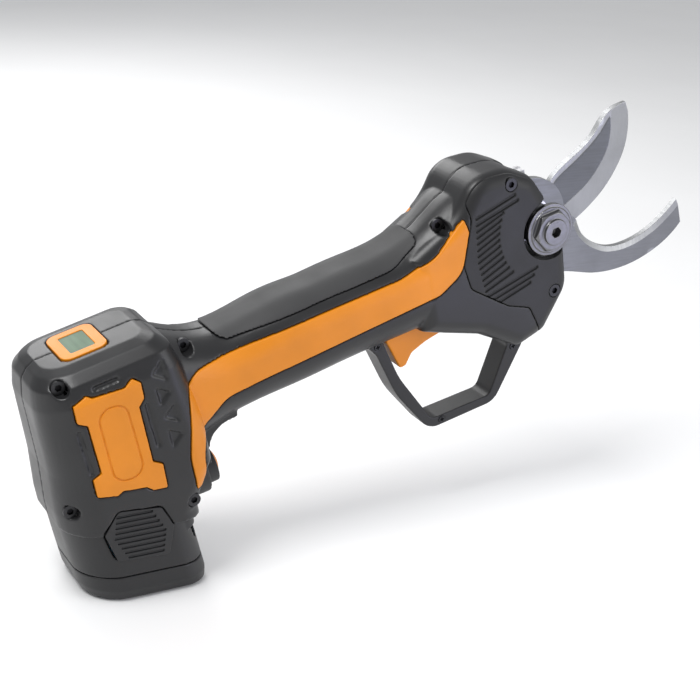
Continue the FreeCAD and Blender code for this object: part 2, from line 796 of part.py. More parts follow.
def hook_blade():
    inner = at_pivot(HOOK_INNER)
    outer = at_pivot(HOOK_OUTER)
    root = at_pivot([(-6.0, -20.0), (-6.0, 0.0)])
    low = -BLADE_GAP - HOOK_THICK
    arm = curved_slab([
        inner,
        [inner[-1], outer[0]],
        outer,
        [outer[-1], root[0]],
        [root[0], root[1]],
        [root[1], inner[0]],
    ], low, -BLADE_GAP)
    lobe = cylinder_y(PIVOT_X, PIVOT_Z, LOBE_R, low, -BLADE_GAP)
    tail = side_slab([
        (165.5, 48.0, 3.0), (180.0, 48.0, 1.0), (184.0, 60.0, 0.0), (180.0, 84.0, 2.0),
        (176.0, 88.0, 3.0), (165.5, 88.0, 3.0),
    ], low, -BLADE_GAP)
    whole = fuse([arm, lobe, tail])
    holes = [cylinder_y(PIVOT_X, PIVOT_Z, PIVOT_R, low - 1, 1)]
    for x, z in HOOK_SCREWS:
        holes.append(cylinder_y(x, z, HOOK_SCREW_R, low - 1, 1))
    return cut(whole, holes)


def cutting_blade():
    spine = at_pivot(BLADE_SPINE)
    edge = at_pivot(BLADE_EDGE)
    root = at_pivot([(0.0, -10.0), (0.0, 9.0)])
    blade = curved_slab([
        spine,
        [spine[-1], edge[0]],
        edge,
        [edge[-1], root[0]],
        [root[0], root[1]],
        [root[1], spine[0]],
    ], 0.0, BLADE_THICK)
    lobe = cylinder_y(PIVOT_X, PIVOT_Z, LOBE_R - 1.5, 0.0, BLADE_THICK)
    whole = fuse([blade, lobe])
    holes = [cylinder_y(PIVOT_X, PIVOT_Z, BUSH_R, -1, 4)]
    for x, z in sector_screw_places():
        holes.append(cylinder_y(x, z, SECTOR_SCREW_R, -1, 4))
    return cut(whole, holes)


def sector_screw_places():
    places = []
    for degrees in (190, 230):
        angle = math.radians(degrees)
        places.append((PIVOT_X + 10.0 * math.cos(angle), PIVOT_Z + 10.0 * math.sin(angle)))
    return places


def sector_tooth(degrees):
    """One straight bevel tooth, tapering towards the pivot, pointing to the pinion's side."""
    wires = []
    for radius in (GEAR_R - TOOTH_FACE / 2, GEAR_R + TOOTH_FACE / 2):
        scale = radius / GEAR_R
        pitch_y = PINION_R * scale
        points = []
        for half, y in ((1.02, 3.0), (1.02, 1.5), (0.34, -0.85), (-0.34, -0.85), (-1.02, 1.5), (-1.02, 3.0)):
            points.append(vec(-radius, pitch_y + y * scale, half * scale))
        wires.append(Part.makePolygon(points + [points[0]]))
    tooth = Part.makeLoft(wires, True, True)
    tooth.rotate(vec(0, 0, 0), vec(0, 1, 0), 180.0 - degrees)
    tooth.translate(vec(PIVOT_X, 0, PIVOT_Z))
    return tooth


def blade_gear():
    """The toothed sector behind the cutting blade, on a hub round the bush."""
    outer_r = GEAR_R + TOOTH_FACE / 2
    ring_low = PINION_R * outer_r / GEAR_R + 1.2
    wedge = pie(outer_r, ring_low, SECTOR_HIGH, SECTOR_FROM - 4, SECTOR_TO + 4)
    hub = cylinder_y(PIVOT_X, PIVOT_Z, SECTOR_HUB_R, SECTOR_LOW, SECTOR_HIGH)
    root = pie(14.0, SECTOR_LOW, SECTOR_HIGH, SECTOR_FROM - 4, SECTOR_TO + 4)
    step = 360.0 / SECTOR_TEETH
    count = int((SECTOR_TO - SECTOR_FROM) / step) + 1
    phase = 180.0 + TILT
    teeth = []
    for i in range(count):
        teeth.append(sector_tooth(phase + (i + 0.5) * step - step))
    whole = fuse([wedge, hub, root] + teeth)
    holes = [cylinder_y(PIVOT_X, PIVOT_Z, BUSH_R, 0, 20)]
    for x, z in sector_screw_places():
        holes.append(cylinder_y(x, z, SECTOR_SCREW_R, 0, 20))
    return cut(whole, holes)


def pie(radius, low_y, high_y, start, end):
    """A slice of a disc about the pivot, angles measured from +X towards +Z."""
    arc = []
    for degrees in (start, (start + end) / 2, end):
        angle = math.radians(degrees)
        arc.append(vec(PIVOT_X + radius * math.cos(angle), low_y, PIVOT_Z + radius * math.sin(angle)))
    centre = vec(PIVOT_X, low_y, PIVOT_Z)
    edges = [
        Part.LineSegment(centre, arc[0]).toShape(),
        Part.Arc(*arc).toShape(),
        Part.LineSegment(arc[2], centre).toShape(),
    ]
    return Part.Face(Part.Wire(edges)).extrude(vec(0, high_y - low_y, 0))


def sector_screws():
    screws = []
    for x, z in sector_screw_places():
        screws.append(cylinder_y(x, z, SECTOR_SCREW_R, 0.3, SECTOR_HIGH))
    return Part.makeCompound(screws)


def blade_bush():
    """A bronze sleeve in the blade and the sector, turning on the pivot bolt."""
    return cylinder_y(PIVOT_X, PIVOT_Z, BUSH_R, 0.0, SECTOR_HIGH).cut(
        cylinder_y(PIVOT_X, PIVOT_Z, PIVOT_R + RUNNING, -1, 20))


def pivot_bolt():
    shank = cylinder_y(PIVOT_X, PIVOT_Z, PIVOT_R, -FLANGE_FACE + FLANGE_THICK + 3.0, 14.6)
    head = cylinder_y(PIVOT_X, PIVOT_Z, 7.5, 14.6, 17.2)
    socket = hexagon_y(PIVOT_X, PIVOT_Z, 5.0, 15.0, 20.0)
    return fuse([shank, head]).cut(socket)


def pivot_nut():
    """Flanged nut: washer rim, chamfered hex, round boss with a hex socket."""
    face = -FLANGE_FACE
    inner = face + FLANGE_THICK
    collar = cylinder_y(PIVOT_X, PIVOT_Z, 7.4, inner, -BLADE_GAP - HOOK_THICK - 1.0)
    flange = cylinder_y(PIVOT_X, PIVOT_Z, FLANGE_R, face, inner)
    rim = cylinder_y(PIVOT_X, PIVOT_Z, FLANGE_R - 1.3, face - 0.5, face)
    hexagon = hexagon_y(PIVOT_X, PIVOT_Z, HEX_FLAT, face - 2.6, face)
    cone = Part.makeCone(HEX_FLAT * 0.5, HEX_FLAT * 0.78, 3.2, vec(PIVOT_X, face - 2.6, PIVOT_Z), vec(0, 1, 0))
    hexagon = hexagon.common(cone)
    boss = cylinder_y(PIVOT_X, PIVOT_Z, 4.9, face - 3.8, face)
    socket = hexagon_y(PIVOT_X, PIVOT_Z, 3.6, face - 5, face - 0.4)
    bore = cylinder_y(PIVOT_X, PIVOT_Z, PIVOT_R, face + 2, 0)
    return fuse([flange, rim, hexagon, boss, collar]).cut(socket).cut(bore)


def pivot_washer():
    """The spring washer between the nut and the hook."""
    near = -BLADE_GAP - HOOK_THICK
    return cylinder_y(PIVOT_X, PIVOT_Z, 8.4, near - 1.0, near).cut(
        cylinder_y(PIVOT_X, PIVOT_Z, PIVOT_R, near - 2, near + 1))


def hook_screws():
    screws = []
    for x, z in HOOK_SCREWS:
        shank = cylinder_y(x, z, HOOK_SCREW_R, -BLADE_GAP - HOOK_THICK, 2.4)
        head = cylinder_y(x, z, 3.6, -BLADE_GAP - HOOK_THICK - 2.4, -BLADE_GAP - HOOK_THICK)
        socket = hexagon_y(x, z, 2.5, -8.0, -BLADE_GAP - HOOK_THICK - 1.0)
        screws.append(fuse([shank, head]).cut(socket))
    return Part.makeCompound(screws)


# ---------------------------------------------------------------- drive train
def bevel_pinion():
    wires = []
    for near in (GEAR_R - TOOTH_FACE / 2, GEAR_R + TOOTH_FACE / 2):
        scale = near / GEAR_R
        wires.append(toothed_wire(-near, PINION_TEETH, 1.0, scale=scale))
    teeth = Part.makeLoft(wires, True, True)
    back = rod(GEAR_R + TOOTH_FACE / 2, 1.2, 5.2)
    return drive(fuse([teeth, back]).cut(rod(10, 30, SHAFT_R)))


def output_shaft():
    """The planet carrier with its three pins and the shaft that carries the pinion."""
    shaft = rod(GEAR_R - TOOTH_FACE / 2 - 1.0, RING_NEAR - 2.6 - (GEAR_R - TOOTH_FACE / 2 - 1.0), SHAFT_R)
    plate = rod(RING_NEAR - 2.6, 2.2, 8.2)
    pins = []
    for i in range(PLANETS):
        pin = rod(RING_NEAR - 0.4, 8.0, 1.2)
        pins.append(planet_place(pin, i))
    return drive(fuse([shaft, plate] + pins))


def planet_distance():
    return FINE_MODULE * (SUN_TEETH + PLANET_TEETH) / 2


def planet_place(shape, index):
    """Moves a shape on the axis out to one planet's place and turns it round."""
    placed = shape.copy()
    placed.translate(vec(0, 0, planet_distance()))
    placed.rotate(vec(0, 0, 0), vec(1, 0, 0), 120.0 * index)
    return placed


def planet_gear(index):
    """The planet's teeth are turned by half a tooth so that they sit between the sun's."""
    half_tooth = math.pi / PLANET_TEETH
    gear = spur_gear(RING_NEAR + 0.6, 6.0, PLANET_TEETH, FINE_MODULE, 1.2 + RUNNING, turn=half_tooth)
    gear = planet_place(gear, index)
    return drive(gear)


def ring_gear():
    wire = toothed_wire(-RING_NEAR - RING_LENGTH, RING_TEETH, FINE_MODULE, inside=True)
    hollow = Part.Face(wire).extrude(vec(RING_LENGTH, 0, 0))
    body = rod(RING_NEAR, RING_LENGTH, 11.6)
    return drive(body.cut(hollow))


def sun_gear():
    return drive(spur_gear(RING_NEAR + 0.6, 8.0, SUN_TEETH, FINE_MODULE, 1.0))


def motor_rotor():
    shaft = rod(RING_NEAR + 0.4, MOTOR_NEAR + MOTOR_LENGTH - RING_NEAR, 1.0)
    core = rod(MOTOR_NEAR + 6.0, 22.0, 5.2)
    return drive(fuse([shaft, core]))


def motor_can():
    can = tube(MOTOR_NEAR, MOTOR_LENGTH, MOTOR_R, MOTOR_R - 0.8)
    front = tube(MOTOR_NEAR - 2.0, 2.0, MOTOR_R, 3.0)
    back = tube(MOTOR_NEAR + MOTOR_LENGTH, 1.5, MOTOR_R, 3.0)
    return drive(fuse([can, front, back]))


def motor_stator():
    """Six laminated poles inside the can."""
    ring = tube(MOTOR_NEAR + 7.0, 20.0, MOTOR_R - 0.8, MOTOR_R - 2.2)
    poles = [ring]
    for i in range(6):
        pole = box((-MOTOR_NEAR - 27.0, -1.2, 5.7), (-MOTOR_NEAR - 7.0, 1.2, MOTOR_R - 1.5))
        pole.rotate(vec(0, 0, 0), vec(1, 0, 0), 60.0 * i)
        poles.append(pole)
    whole = fuse(poles)
    return drive(whole.cut(rod(MOTOR_NEAR, MOTOR_LENGTH, 5.6)))


def motor_windings():
    """One coil round each pole."""
    coils = []
    for i in range(6):
        coil = box((-MOTOR_NEAR - 29.0, -2.3, 6.4), (-MOTOR_NEAR - 5.0, 2.3, MOTOR_R - 2.7))
        coil = coil.cut(box((-MOTOR_NEAR - 27.0, -1.2, 0), (-MOTOR_NEAR - 7.0, 1.2, 20)))
        coil.rotate(vec(0, 0, 0), vec(1, 0, 0), 60.0 * i)
        coils.append(drive(coil))
    return Part.makeCompound(coils)


def motor_bearings():
    near = tube(MOTOR_NEAR - 2.0, 2.0, 3.0, 1.0)
    far = tube(MOTOR_NEAR + MOTOR_LENGTH, 1.5, 3.0, 1.0)
    return Part.makeCompound([drive(near), drive(far)])


def motor_adapter():
    """The plate between the motor and the ring gear."""
    near = RING_NEAR + RING_LENGTH
    return drive(tube(near, MOTOR_NEAR - 2.0 - near, 11.2, 4.0))


def pinion_bearings():
    rings = [drive(tube(near, length, BEARING_R, SHAFT_R)) for near, length in BEARINGS]
    return Part.makeCompound(rings)


def gear_frame():
    """The metal body in the head: a bearing tube, and two cheeks that hold the hook and the bolt."""
    carrier = drive(fuse([
        tube(30.5, 20.0, 9.0, BEARING_R),
        tube(49.0, 1.8, 11.6, BEARING_R),
        tube(50.6, 3.3, 11.6, 9.2),
    ]))
    near_cheek = cut(side_slab(NEAR_CHEEK, 0.0, 3.0), [
        cylinder_y(PIVOT_X, PIVOT_Z, LOBE_R - 0.6, -5, 20),
        box((153.8, -5, 59.0), (165.2, 20, 76.0)),
    ])
    rib = box((142.0, 6.0, 62.0), (152.0, 12.4, 71.0))
    far_cheek = side_slab(FAR_CHEEK, SECTOR_HIGH + 0.2, 12.4)
    bolt_seat = cylinder_y(PIVOT_X, PIVOT_Z, 7.5, 12.4, 14.6)
    nose = box((186.0, 8.0, 76.0), (191.5, 12.0, 83.0))
    whole = fuse([carrier, near_cheek, rib, far_cheek, bolt_seat, nose])
    holes = [drive(rod(29.5, 21.5, BEARING_R)), cylinder_y(PIVOT_X, PIVOT_Z, PIVOT_R, -5, 20)]
    for x, z in HOOK_SCREWS:
        holes.append(cylinder_y(x, z, HOOK_SCREW_R, -5, 5))
    return cut(whole, holes)


# ---------------------------------------------------------------- electronics
def controller_board():
    return box((42.0, -11.0, BOARD_TOP - 1.6), (66.0, 11.0, BOARD_TOP))


def board_parts():
    """Six power switches in two rows and three capacitors."""
    parts = []
    for i in range(3):
        x = 50.0 + i * 5.4
        parts.append(box((x, -9.0, BOARD_TOP), (x + 4.2, -3.0, BOARD_TOP + 1.6)))
        parts.append(box((x, 3.0, BOARD_TOP), (x + 4.2, 9.0, BOARD_TOP + 1.6)))
    for y in (-6.5, 0.0, 6.5):
        parts.append(Part.makeCylinder(2.9, 7.0, vec(45.6, y, BOARD_TOP), vec(0, 0, 1)))
    return Part.makeCompound(parts)


def rounded_plate(half_x, half_y, radius, low, high, grow=0.0):
    """A level plate with rounded corners under the display's middle."""
    points = [
        (BEZEL_X - half_x - grow, -half_y - grow, radius),
        (BEZEL_X + half_x + grow, -half_y - grow, radius),
        (BEZEL_X + half_x + grow, half_y + grow, radius),
        (BEZEL_X - half_x - grow, half_y + grow, radius),
    ]
    wire = outline_wire(points, lambda u, v: vec(u, v, low))
    return Part.Face(wire).extrude(vec(0, 0, high - low))


def display_bezel():
    plate = rounded_plate(BEZEL_HALF_X, BEZEL_HALF_Y, 3.5, BLOCK_TOP - 1.1, BLOCK_TOP + 0.4)
    return plate.cut(rounded_plate(WINDOW_HALF_X, WINDOW_HALF_Y, 0.6, BLOCK_TOP - 3, BLOCK_TOP + 2))


def display_window():
    return rounded_plate(WINDOW_HALF_X, WINDOW_HALF_Y, 0.6, BLOCK_TOP - 1.5, BLOCK_TOP + 0.1)


def display_board():
    board = rounded_plate(9.0, 10.5, 1.0, BLOCK_TOP - 6.2, BLOCK_TOP - 4.8)
    module = rounded_plate(4.0, 6.0, 0.5, BLOCK_TOP - 4.8, BLOCK_TOP - 1.8)
    return board.fuse(module).removeSplitter()


def power_collar():
    """The round sleeve on the block's front that the power button slides in."""
    sleeve = cylinder_x(BUTTON_X - 5.0, COLLAR_R, 8.6)
    return sleeve.cut(cylinder_x(BUTTON_X - 6.0, BUTTON_R + RUNNING, 20))


def power_button():
    stem = cylinder_x(BUTTON_X - 3.4, BUTTON_R, 6.8)
    dome = Part.makeSphere(BUTTON_DOME, vec(BUTTON_X - 3.4, 0, BUTTON_Z))
    return fuse([stem, dome.common(cylinder_x(BUTTON_X + 3.4, BUTTON_R, 6.0))])


def power_switch():
    return box((BUTTON_X - 9.0, -4.0, BUTTON_Z - 4.0), (BUTTON_X - 5.4, 4.0, BUTTON_Z + 4.0))


def contact_block():
    """The housing's half of the battery connector."""
    return box((TERMINAL_X - 6.5, -13.0, NECK_TOP + 0.6), (TERMINAL_X + 6.5, 13.0, NECK_TOP + 4.4))


# ---------------------------------------------------------------- battery
def battery_form(inset=0.0):
    """The battery below the block: level foot, walls that run square to the handle."""
    wires = []
    for height, rear, front, half, rear_r, front_r in BATTERY_SECTIONS:
        if height >= inset - FOOT_CUT:
            wires.append(plan_wire(
                height, rear + inset, front - inset, half - inset, rear_r - inset, front_r - inset))
    lean = FreeCAD.Matrix()
    lean.A13 = -math.tan(math.radians(STAND))
    return level(Part.makeLoft(wires, True, True).transformGeometry(lean))


def neck_form(inset, low, high):
    """The part of the battery inside the block."""
    rear, front, half, rear_r, front_r = NECK
    wire = plan_wire(low, rear + inset, front - inset, half - inset, rear_r - inset, front_r - inset)
    return Part.Face(wire).extrude(vec(0, 0, high - low))


def cell_places():
    places = []
    for x in (CELL_MID_X - CELL_PITCH / 2, CELL_MID_X + CELL_PITCH / 2):
        for y in (-CELL_PITCH / 2, CELL_PITCH / 2):
            places.append((x, y))
    return places


def cell(x, y):
    can = Part.makeCylinder(CELL_R, CELL_LENGTH - 1.0, vec(x, y, CELL_FLOOR), vec(0, 0, 1))
    cap = Part.makeCylinder(2.8, 1.0, vec(x, y, CELL_TOP - 1.0), vec(0, 0, 1))
    return can.fuse(cap).removeSplitter()


def battery_cells():
    return Part.makeCompound([cell(x, y) for x, y in cell_places()])


def cell_holder():
    """The plate that keeps the four cells apart near their tops."""
    low = CELL_TOP - 12.0
    plate = neck_form(NECK_WALL, low, low + 8.0)
    holes = [Part.makeCylinder(CELL_R, 20, vec(x, y, low - 5), vec(0, 0, 1)) for x, y in cell_places()]
    return largest(cut(plate, holes))


def battery_board():
    return box((-11.0, -15.0, CELL_TOP), (20.0, 15.0, CELL_TOP + 1.6))


def terminal_boxes(half_x, half_y, low, high):
    boxes = []
    for y in TERMINAL_YS:
        boxes.append(box((TERMINAL_X - half_x, y - half_y, low), (TERMINAL_X + half_x, y + half_y, high)))
    return boxes


def battery_terminals():
    """Four blades that stand on the board and reach through the case's top."""
    return Part.makeCompound(terminal_boxes(4.0, 0.8, CELL_TOP + 1.6, NECK_TOP + 0.4))


def battery_case():
    neck = neck_form(0.0, NECK_LOW, NECK_TOP).common(block_form(WALL + NECK_CLEAR))
    whole = fuse([battery_form(), neck])
    low_space = battery_form(BATTERY_WALL).common(foot_slab(0, 25.6))
    space = fuse([low_space, neck_form(NECK_WALL, 12.0, NECK_TOP - NECK_WALL)])
    well = side_slab(LATCH_OUTLINE, -40, -LATCH_FACE + LATCH_THICK + LATCH_TRAVEL + 0.1, 0.3)
    case = whole.cut(space).cut(foot_slab(-60, BASE_TOP))
    return largest(cut(case, terminal_boxes(4.3, 1.1, NECK_TOP - 4, NECK_TOP + 4) + [well, mirrored(well)]))


def battery_base():
    base = battery_form().common(foot_slab(0, BASE_TOP - BASE_GAP))
    return base.cut(battery_form(BATTERY_WALL))


def latch_button():
    """A ridged hexagon, pressed inwards to free the battery."""
    body = side_slab(LATCH_OUTLINE, -LATCH_FACE, -LATCH_FACE + LATCH_THICK)
    ribs = []
    for i in range(LATCH_RIBS):
        low = 18.2 + i * 2.0
        span = 9.4 - 0.7 * abs(i - 4)
        middle = 2.1 - math.tan(math.radians(STAND)) * low
        groove = level(box((middle - span, -30, low), (middle + span, -LATCH_FACE + 0.7, low + 1.0)))
        ribs.append(groove)
    return cut(body, ribs)


# ---------------------------------------------------------------- housing screws
def socket_screw(x, z, seat, end, head):
    """A cap screw along Y, its head outside of seat, with a hexagonal socket."""
    cap = cylinder_y(x, z, SCREW_HEAD_R, seat - head, seat)
    shank = cylinder_y(x, z, SCREW_R, seat, end)
    socket = hexagon_y(x, z, 2.2, seat - head - 1, seat - 0.4)
    return fuse([cap, shank]).cut(socket)


def housing_screws():
    screws = []
    for x, z, end, sunk in HOUSING_SCREWS:
        seat = surface_y(x, z) + sunk
        reach = SCREW_REACH if end == 0 else end
        screws.append(socket_screw(x, z, seat, reach, SCREW_HEAD))
    return Part.makeCompound(screws)


def cover_screws():
    screws = []
    for x, z in COVER_SCREWS:
        screw = socket_screw(x, z, -HEAD_HALF + 1.5, -GEAR_SPACE_HALF, 1.3)
        screws += [screw, mirrored(screw)]
    return Part.makeCompound(screws)


# ---------------------------------------------------------------- every node
def nodes():
    housing = housing_right()
    cover = head_cover_right()
    panel = side_panel_right()
    badge = badge_plate_right()
    latch = latch_button()
    made = {
        "housing_right": housing,
        "housing_left": housing_left(),
        "head_cover_right": cover,
        "head_cover_left": mirrored(cover),
        "side_panel_right": panel,
        "side_panel_left": mirrored(panel),
        "badge_plate_right": badge,
        "badge_plate_left": mirrored(badge),
        "grip_insert": grip_insert(),
        "display_bezel": display_bezel(),
        "display_window": display_window(),
        "display_board": display_board(),
        "power_collar": power_collar(),
        "power_button": power_button(),
        "power_switch": power_switch(),
        "belt_clip": belt_clip(),
        "trigger_guard": trigger_guard(),
        "guard_screws": guard_screws(),
        "housing_screws": housing_screws(),
        "cover_screws": cover_screws(),
        "trigger": trigger(),
        "trigger_pin": trigger_pin(),
        "trigger_spring": trigger_spring(),
        "trigger_magnet": trigger_magnet(),
        "sensor_board": sensor_board(),
        "hook_blade": hook_blade(),
        "hook_screws": hook_screws(),
        "cutting_blade": cutting_blade(),
        "blade_gear": blade_gear(),
        "sector_screws": sector_screws(),
        "blade_bush": blade_bush(),
        "pivot_bolt": pivot_bolt(),
        "pivot_nut": pivot_nut(),
        "pivot_washer": pivot_washer(),
        "gear_frame": gear_frame(),
        "bevel_pinion": bevel_pinion(),
        "pinion_bearings": pinion_bearings(),
        "output_shaft": output_shaft(),
        "ring_gear": ring_gear(),
        "sun_gear": sun_gear(),
        "motor_adapter": motor_adapter(),
        "motor_can": motor_can(),
        "motor_stator": motor_stator(),
        "motor_windings": motor_windings(),
        "motor_rotor": motor_rotor(),
        "motor_bearings": motor_bearings(),
        "controller_board": controller_board(),
        "board_parts": board_parts(),
        "contact_block": contact_block(),
        "battery_case": battery_case(),
        "battery_base": battery_base(),
        "battery_cells": battery_cells(),
        "cell_holder": cell_holder(),
        "battery_board": battery_board(),
        "battery_terminals": battery_terminals(),
        "latch_button_right": latch,
        "latch_button_left": mirrored(latch),
    }
    for index in range(PLANETS):
        made["planet_gear_%d" % (index + 1)] = planet_gear(index)
    return made


def main():
    os.makedirs("parts", exist_ok=True)
    for name, shape in nodes().items():
        placed = stand(shape)
        print("%-20s valid %s, %d solids, %.1f mm3" % (
            name, placed.isValid(), len(placed.Solids), placed.Volume))
        placed.exportStep("parts/%s.step" % name)


main()
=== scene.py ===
import json
import math

import bmesh
import bpy
import numpy as np
from mathutils import Matrix, Vector
from mathutils.geometry import delaunay_2d_cdt


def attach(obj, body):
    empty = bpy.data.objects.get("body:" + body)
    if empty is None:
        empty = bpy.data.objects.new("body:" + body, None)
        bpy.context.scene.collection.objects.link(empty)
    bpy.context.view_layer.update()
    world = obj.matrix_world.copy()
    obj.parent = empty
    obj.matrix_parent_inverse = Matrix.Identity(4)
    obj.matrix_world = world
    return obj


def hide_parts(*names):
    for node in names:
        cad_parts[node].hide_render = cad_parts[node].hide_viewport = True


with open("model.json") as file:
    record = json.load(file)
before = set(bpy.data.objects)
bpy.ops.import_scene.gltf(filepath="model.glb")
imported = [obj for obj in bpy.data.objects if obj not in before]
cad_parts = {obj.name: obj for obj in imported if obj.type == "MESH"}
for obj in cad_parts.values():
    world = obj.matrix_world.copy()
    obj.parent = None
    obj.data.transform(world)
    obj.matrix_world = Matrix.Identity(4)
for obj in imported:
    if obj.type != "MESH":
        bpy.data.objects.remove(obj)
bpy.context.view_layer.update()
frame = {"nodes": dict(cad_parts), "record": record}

# ---------------------------------------------------------------- the handle's own frame, in mm
STAND = math.radians(16.0)
FOOT_Z = -0.2
PIVOT = (184.0, 68.5)
TO_ROW = (
    Matrix.Scale(0.001, 4)
    @ Matrix.Rotation(-STAND, 4, "Y")
    @ Matrix.Translation((0, 0, -FOOT_Z))
)
TO_HANDLE = TO_ROW.inverted()

# the cutting blade's edge and back, from the pivot, in the handle's frame
BLADE_EDGE = [
    (52.8, 24.0), (52.2, 18.6), (49.6, 10.6), (44.4, 3.2),
    (37.0, -3.4), (30.5, -7.2), (22.0, -10.6),
]
BLADE_BACK = [
    (9.5, 3.2), (11.5, 7.6), (15.5, 11.6), (26.5, 16.4),
    (35.5, 21.4), (42.5, 27.4), (47.0, 28.6), (51.6, 28.8),
]
HOOK_INNER = [
    (21.5, -10.5), (22.6, -14.6), (27.0, -20.5), (34.0, -25.5),
    (44.0, -27.4), (55.0, -25.8), (64.0, -22.0), (69.6, -18.6),
]

# the cutting blade's section, in mm: the grind on each face, and the field sunk between the
# grind and a bright band along the back
BLADE_THICK = 2.6
GRIND_WIDE = 9.0
GRIND_NEAR = 1.0
GRIND_FAR = 1.2
GRIND_STEP = 0.4
BACK_BAND = 2.0
FIELD_DEPTH = 0.18
FIELD_FROM = 1.8
FIELD_SLOPE = 0.5
BLADE_DARK_GAP = 0.2
BLADE_ROUND = 0.15

# the hook's section, in mm: its two faces and the bevel along the inner side
HOOK_NEAR = -3.05
HOOK_FAR = -0.05
HOOK_GRIND = 2.0
HOOK_BEVEL = 0.8
HOOK_DARK_GAP = 0.1
HOOK_ROUND = 0.2

# the facets of both blades: their size in mm, and as parts of it the height of a row and the
# free space beside the outline and beside a crease
FACET = 0.8
ROW_HEIGHT = 0.87
OUTLINE_GAP = 0.5
CREASE_GAP = 0.4

# the camera in the handle's frame: what it looks at in mm, which way, and how far off in metres
CAMERA_AIM = Vector((102.0, 0.0, 46.0))
CAMERA_AHEAD = Vector((0.3506, 0.797, -0.4915))
CAMERA_RIGHT = Vector((0.8556, -0.486, -0.1782))
CAMERA_DISTANCE = 0.571
CAMERA_LENS = 80.02
CAMERA_SENSOR = 36.0

# the stage, in metres: half the floor's side, and what the lamps point at
FLOOR_HALF = 4
LAMP_AIM = (0.07, 0, 0.07)


# ---------------------------------------------------------------- node materials
class Paint:
    """A node material with a Principled shader and short ways to feed it."""

    def __init__(self, name):
        self.mat = bpy.data.materials.new(name)
        self.mat.use_nodes = True
        self.tree = self.mat.node_tree
        self.shader = self.tree.nodes["Principled BSDF"]
        self.coords = self.node("ShaderNodeTexCoord").outputs["Object"]

    def node(self, kind, **values):
        made = self.tree.nodes.new(kind)
        for key, value in values.items():
            setattr(made, key, value)
        return made

    def link(self, a, b):
        self.tree.links.new(a, b)

    def noise(self, scale, detail=3.0, stretch=None):
        source = self.coords
        if stretch:
            turn = self.node("ShaderNodeMapping")
            turn.inputs["Scale"].default_value = stretch
            turn.inputs["Rotation"].default_value = (0, STAND, 0)
            self.link(source, turn.inputs["Vector"])
            source = turn.outputs["Vector"]
        made = self.node("ShaderNodeTexNoise")
        made.inputs["Scale"].default_value = scale
        made.inputs["Detail"].default_value = detail
        self.link(source, made.inputs["Vector"])
        return made.outputs["Fac"]

    def spread(self, source, low, high, start=0.3, end=0.7):
        made = self.node("ShaderNodeMapRange")
        made.inputs["From Min"].default_value = start
        made.inputs["From Max"].default_value = end
        made.inputs["To Min"].default_value = low
        made.inputs["To Max"].default_value = high
        self.link(source, made.inputs["Value"])
        return made.outputs["Result"]

    def mix(self, factor, a, b):
        made = self.node("ShaderNodeMix", data_type="RGBA")
        for socket, value in ((6, a), (7, b)):
            if isinstance(value, tuple):
                made.inputs[socket].default_value = (*value, 1.0)
            else:
                self.link(value, made.inputs[socket])
        self.link(factor, made.inputs[0])
        return made.outputs[2]

    def edges(self, low, high):
        point = self.node("ShaderNodeNewGeometry").outputs["Pointiness"]
        return self.spread(point, 0.0, 1.0, low, high)

    def bump(self, source, strength, distance):
        made = self.node("ShaderNodeBump")
        made.inputs["Strength"].default_value = strength
        made.inputs["Distance"].default_value = distance
        self.link(source, made.inputs["Height"])
        self.link(made.outputs["Normal"], self.shader.inputs["Normal"])

    def colour(self, source):
        self.link(source, self.shader.inputs["Base Color"])

    def rough(self, source):
        self.link(source, self.shader.inputs["Roughness"])


def moulded(name, base, rough, grain=2600.0, depth=0.00006, wear=0.35, coat=0.0):
    """Moulded plastic: fine grain, patchy gloss, edges rubbed a little lighter."""
    p = Paint(name)
    light = tuple(min(1.0, c * 1.4 + 0.008) for c in base)
    dark = tuple(c * 0.82 for c in base)
    patches = p.spread(p.noise(35.0, 4.0), 0.0, 1.0)
    body = p.mix(patches, dark, base)
    rub = p.node("ShaderNodeMath", operation="MULTIPLY")
    p.link(p.edges(0.52, 0.62), rub.inputs[0])
    p.link(p.spread(p.noise(240.0, 5.0), 0.0, wear), rub.inputs[1])
    p.colour(p.mix(rub.outputs[0], body, light))
    p.rough(p.spread(p.noise(60.0, 4.0), rough - 0.05, rough + 0.07))
    p.bump(p.noise(grain, 2.0), 0.35, depth)
    p.shader.inputs["Coat Weight"].default_value = coat
    p.shader.inputs["Coat Roughness"].default_value = 0.25
    return p.mat


def ground(name, base, rough, along=(60.0, 1.0, 1800.0), depth=0.00003):
    """Ground or brushed metal: lines along one way, stains, brighter rubbed edges."""
    p = Paint(name)
    light = tuple(min(1.0, c * 1.3 + 0.03) for c in base)
    dark = tuple(c * 0.72 for c in base)
    lines = p.noise(1.0, 4.0, along)
    stain = p.spread(p.noise(70.0, 5.0), 0.0, 0.55)
    body = p.mix(stain, base, dark)
    p.colour(p.mix(p.edges(0.52, 0.60), body, light))
    p.rough(p.spread(lines, rough - 0.06, rough + 0.10))
    p.bump(lines, 0.25, depth)
    p.shader.inputs["Metallic"].default_value = 1.0
    return p.mat


def lcd(name, base):
    """A matt grey-green display with faint cells."""
    p = Paint(name)
    cells = p.spread(p.noise(1.0, 1.0, (900.0, 60.0, 60.0)), 0.0, 0.5)
    p.colour(p.mix(cells, base, tuple(c * 0.62 for c in base)))
    p.rough(p.spread(p.noise(80.0, 3.0), 0.45, 0.60))
    p.bump(p.noise(600.0, 2.0), 0.1, 0.00002)
    p.shader.inputs["Specular IOR Level"].default_value = 0.3
    return p.mat


